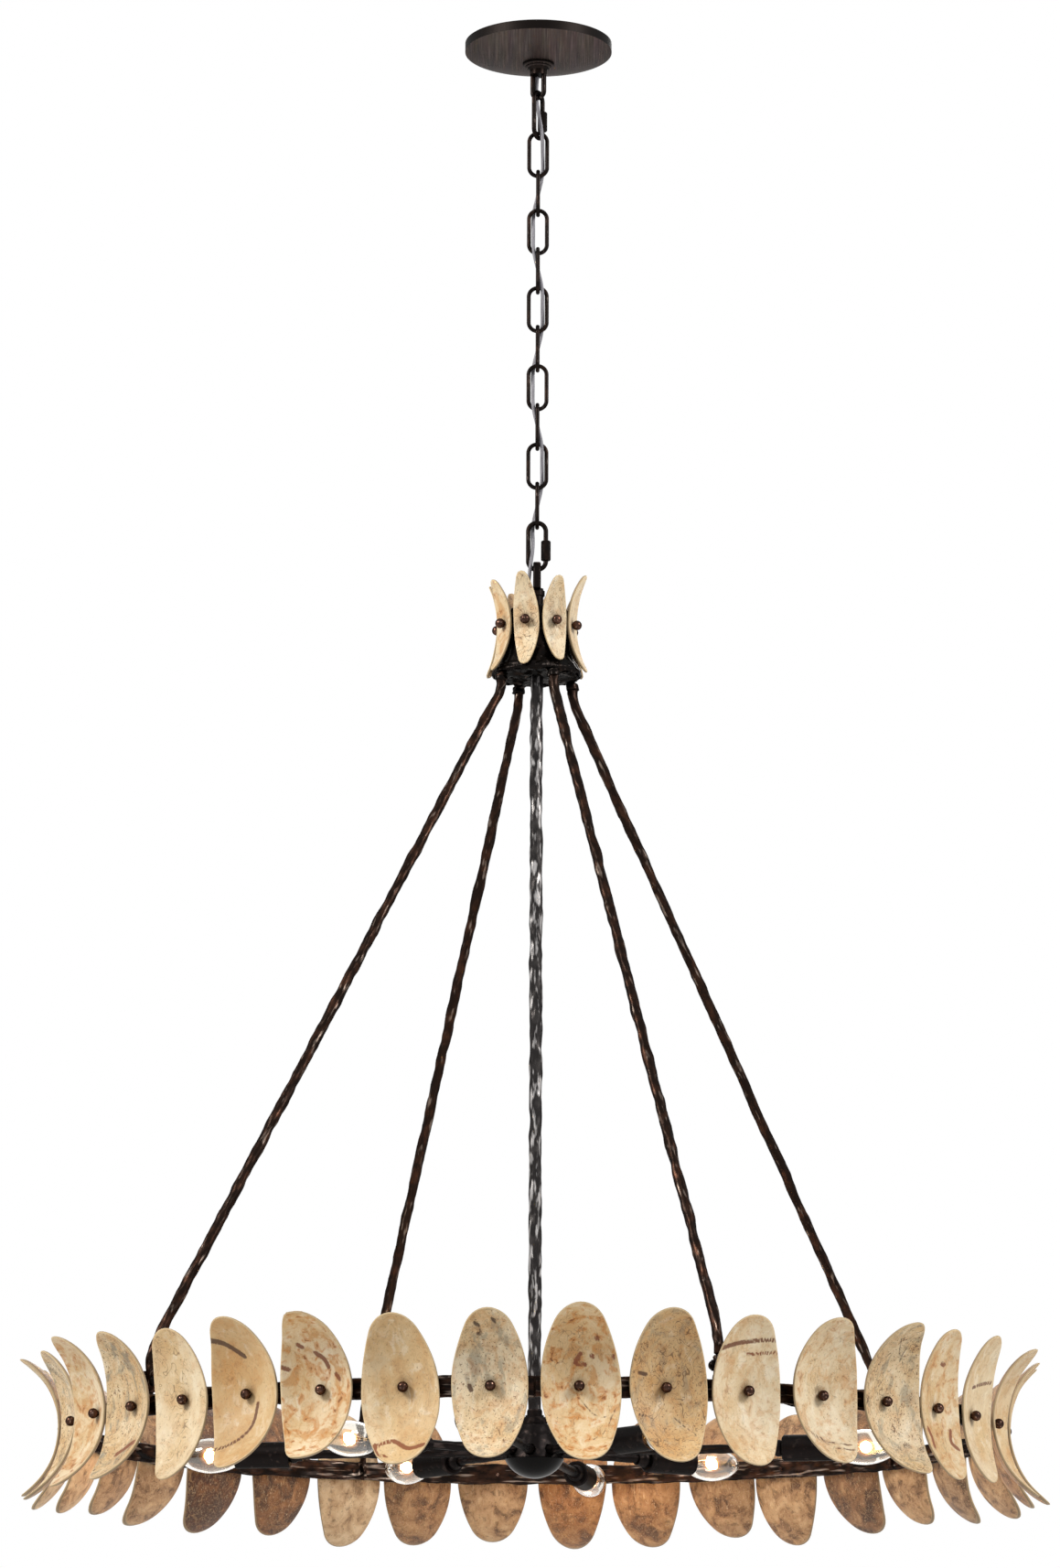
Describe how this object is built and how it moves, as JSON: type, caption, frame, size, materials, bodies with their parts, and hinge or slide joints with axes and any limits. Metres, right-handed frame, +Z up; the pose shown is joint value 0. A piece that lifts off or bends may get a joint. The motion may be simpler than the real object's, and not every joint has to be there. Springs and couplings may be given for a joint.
{
  "type": "chandelier",
  "caption": "Ring chandelier with coconut shell discs on a steel hoop, hung on a link chain from a round canopy, with a cluster of radial lamps inside the hoop.",
  "frame": {"origin": "on the ceiling plane, midway between the two holes of the crossbar", "axes": "+Z up, -Y towards the front, +X to the right seen from the front"},
  "size_m": [1.0169, 1.0307, 1.5208],
  "materials": {
    "canopy_bronze": "satin dark bronze, brushed",
    "dark_iron": "hammered, blackened bronze",
    "black_iron": "satin black",
    "plated_steel": "zinc plated",
    "shell": "polished coconut shell",
    "shell_brown": "polished coconut shell",
    "ball_bronze": "semi-gloss dark bronze",
    "socket_insulator": "matt",
    "bulb_glass": "clear",
    "cord_sheath": "silver grey"
  },
  "bodies": {
    "ceiling_group": {"ceiling_crossbar": "plated_steel", "canopy_nipple": "plated_steel", "nipple_locknut": "plated_steel", "canopy_loop": "canopy_bronze", "cord": "cord_sheath"},
    "canopy": {"canopy_plate": "canopy_bronze", "canopy_collar": "canopy_bronze"},
    "quick_link_top": {"quick_link_top": "dark_iron"},
    "quick_link_top_nut": {"quick_link_top_nut": "dark_iron"},
    "link_01": {"chain_link_01": "dark_iron"},
    "link_02": {"chain_link_02": "dark_iron"},
    "link_03": {"chain_link_03": "dark_iron"},
    "link_04": {"chain_link_04": "dark_iron"},
    "link_05": {"chain_link_05": "dark_iron"},
    "link_06": {"chain_link_06": "dark_iron"},
    "link_07": {"chain_link_07": "dark_iron"},
    "link_08": {"chain_link_08": "dark_iron"},
    "link_09": {"chain_link_09": "dark_iron"},
    "link_10": {"chain_link_10": "dark_iron"},
    "quick_link_bottom": {"quick_link_bottom": "dark_iron"},
    "quick_link_bottom_nut": {"quick_link_bottom_nut": "dark_iron"},
    "fixture": {"hub_eye": "dark_iron", "hub_eye_nut": "plated_steel", "hub_casting": "dark_iron", "hub_base": "dark_iron", "hub_base_screws": "plated_steel", "hub_petals": "shell_brown", "hub_petal_nuts": "ball_bronze", "centre_stem": "dark_iron", "support_rod_1": "dark_iron", "support_rod_2": "dark_iron", "support_rod_3": "dark_iron", "support_rod_4": "dark_iron", "ring_band": "dark_iron", "rod_foot_screws": "ball_bronze", "rod_foot_nuts": "ball_bronze", "ring_shells_front_right": "shell", "ring_shells_back_right": "shell", "ring_shells_back_left": "shell", "ring_shells_front_left": "shell", "ring_shell_nuts": "ball_bronze", "stem_cap": "dark_iron", "lamp_bell": "dark_iron", "lamp_arms_long": "dark_iron", "lamp_arms_short": "dark_iron", "arm_couplings": "dark_iron", "socket_cups_long": "dark_iron", "socket_cups_short": "dark_iron", "lamp_sockets": "socket_insulator"},
    "bulb_1": {"bulb_1": "bulb_glass"},
    "bulb_2": {"bulb_2": "bulb_glass"},
    "bulb_3": {"bulb_3": "bulb_glass"},
    "bulb_4": {"bulb_4": "bulb_glass"},
    "bulb_5": {"bulb_5": "bulb_glass"},
    "bulb_6": {"bulb_6": "bulb_glass"},
    "bulb_7": {"bulb_7": "bulb_glass"},
    "bulb_8": {"bulb_8": "bulb_glass"},
    "bowl": {"lamp_bowl": "black_iron"}
  },
  "joints": [
    {"name": "canopy_drop", "type": "slide", "parent": "ceiling_group", "child": "canopy", "axis": [0, 0, -1], "range_m": [0, 0.02]},
    {"name": "quick_link_top_swing", "type": "hinge", "parent": "ceiling_group", "child": "quick_link_top", "pos_m": [0, 0, -0.05845], "axis": [0.8746, -0.4848, 0], "range_deg": [-6, 6], "deforming": ["cord"]},
    {"name": "chain_swing_01", "type": "hinge", "parent": "quick_link_top", "child": "link_01", "pos_m": [0, 0, -0.1023], "axis": [0.4848, 0.8746, 0], "range_deg": [-6, 6], "deforming": ["cord"]},
    {"name": "chain_swing_02", "type": "hinge", "parent": "link_01", "child": "link_02", "pos_m": [0, 0, -0.1437], "axis": [1, 0, 0], "range_deg": [-6, 6], "deforming": ["cord"]},
    {"name": "chain_swing_03", "type": "hinge", "parent": "link_02", "child": "link_03", "pos_m": [0, 0, -0.1854], "axis": [0, 1, 0], "range_deg": [-6, 6], "deforming": ["cord"]},
    {"name": "chain_swing_04", "type": "hinge", "parent": "link_03", "child": "link_04", "pos_m": [0, 0, -0.2271], "axis": [1, 0, 0], "range_deg": [-6, 6], "deforming": ["cord"]},
    {"name": "chain_swing_05", "type": "hinge", "parent": "link_04", "child": "link_05", "pos_m": [0, 0, -0.2688], "axis": [0, 1, 0], "range_deg": [-6, 6], "deforming": ["cord"]},
    {"name": "chain_swing_06", "type": "hinge", "parent": "link_05", "child": "link_06", "pos_m": [0, 0, -0.3105], "axis": [1, 0, 0], "range_deg": [-6, 6], "deforming": ["cord"]},
    {"name": "chain_swing_07", "type": "hinge", "parent": "link_06", "child": "link_07", "pos_m": [0, 0, -0.3522], "axis": [0, 1, 0], "range_deg": [-6, 6], "deforming": ["cord"]},
    {"name": "chain_swing_08", "type": "hinge", "parent": "link_07", "child": "link_08", "pos_m": [0, 0, -0.3939], "axis": [1, 0, 0], "range_deg": [-6, 6], "deforming": ["cord"]},
    {"name": "chain_swing_09", "type": "hinge", "parent": "link_08", "child": "link_09", "pos_m": [0, 0, -0.4356], "axis": [0, 1, 0], "range_deg": [-6, 6], "deforming": ["cord"]},
    {"name": "chain_swing_10", "type": "hinge", "parent": "link_09", "child": "link_10", "pos_m": [0, 0, -0.4773], "axis": [1, 0, 0], "range_deg": [-6, 6], "deforming": ["cord"]},
    {"name": "quick_link_bottom_swing", "type": "hinge", "parent": "link_10", "child": "quick_link_bottom", "pos_m": [0, 0, -0.519], "axis": [0, 1, 0], "range_deg": [-6, 6], "deforming": ["cord"]},
    {"name": "fixture_swing", "type": "hinge", "parent": "quick_link_bottom", "child": "fixture", "pos_m": [0, 0, -0.5634], "axis": [1, 0, 0], "range_deg": [-6, 6], "deforming": ["cord"]},
    {"name": "quick_link_top_nut_travel", "type": "slide", "parent": "quick_link_top", "child": "quick_link_top_nut", "axis": [0, 0, 1], "range_m": [0, 0.009]},
    {"name": "quick_link_bottom_nut_travel", "type": "slide", "parent": "quick_link_bottom", "child": "quick_link_bottom_nut", "axis": [0, 0, 1], "range_m": [0, 0.009]},
    {"name": "bulb_1_removal", "type": "slide", "parent": "fixture", "child": "bulb_1", "axis": [-0.1736, -0.9848, 0], "range_m": [0, 0.03]},
    {"name": "bulb_2_removal", "type": "slide", "parent": "fixture", "child": "bulb_2", "axis": [0.9848, -0.1736, 0], "range_m": [0, 0.03]},
    {"name": "bulb_3_removal", "type": "slide", "parent": "fixture", "child": "bulb_3", "axis": [0.1736, 0.9848, 0], "range_m": [0, 0.03]},
    {"name": "bulb_4_removal", "type": "slide", "parent": "fixture", "child": "bulb_4", "axis": [-0.9848, 0.1736, 0], "range_m": [0, 0.03]},
    {"name": "bulb_5_removal", "type": "slide", "parent": "fixture", "child": "bulb_5", "axis": [0.5878, -0.809, 0], "range_m": [0, 0.03]},
    {"name": "bulb_6_removal", "type": "slide", "parent": "fixture", "child": "bulb_6", "axis": [0.809, 0.5878, 0], "range_m": [0, 0.03]},
    {"name": "bulb_7_removal", "type": "slide", "parent": "fixture", "child": "bulb_7", "axis": [-0.5878, 0.809, 0], "range_m": [0, 0.03]},
    {"name": "bulb_8_removal", "type": "slide", "parent": "fixture", "child": "bulb_8", "axis": [-0.809, -0.5878, 0], "range_m": [0, 0.03]},
    {"name": "lamp_bowl_drop", "type": "slide", "parent": "fixture", "child": "bowl", "axis": [0, 0, -1], "range_m": [0, 0.03]}
  ]
}
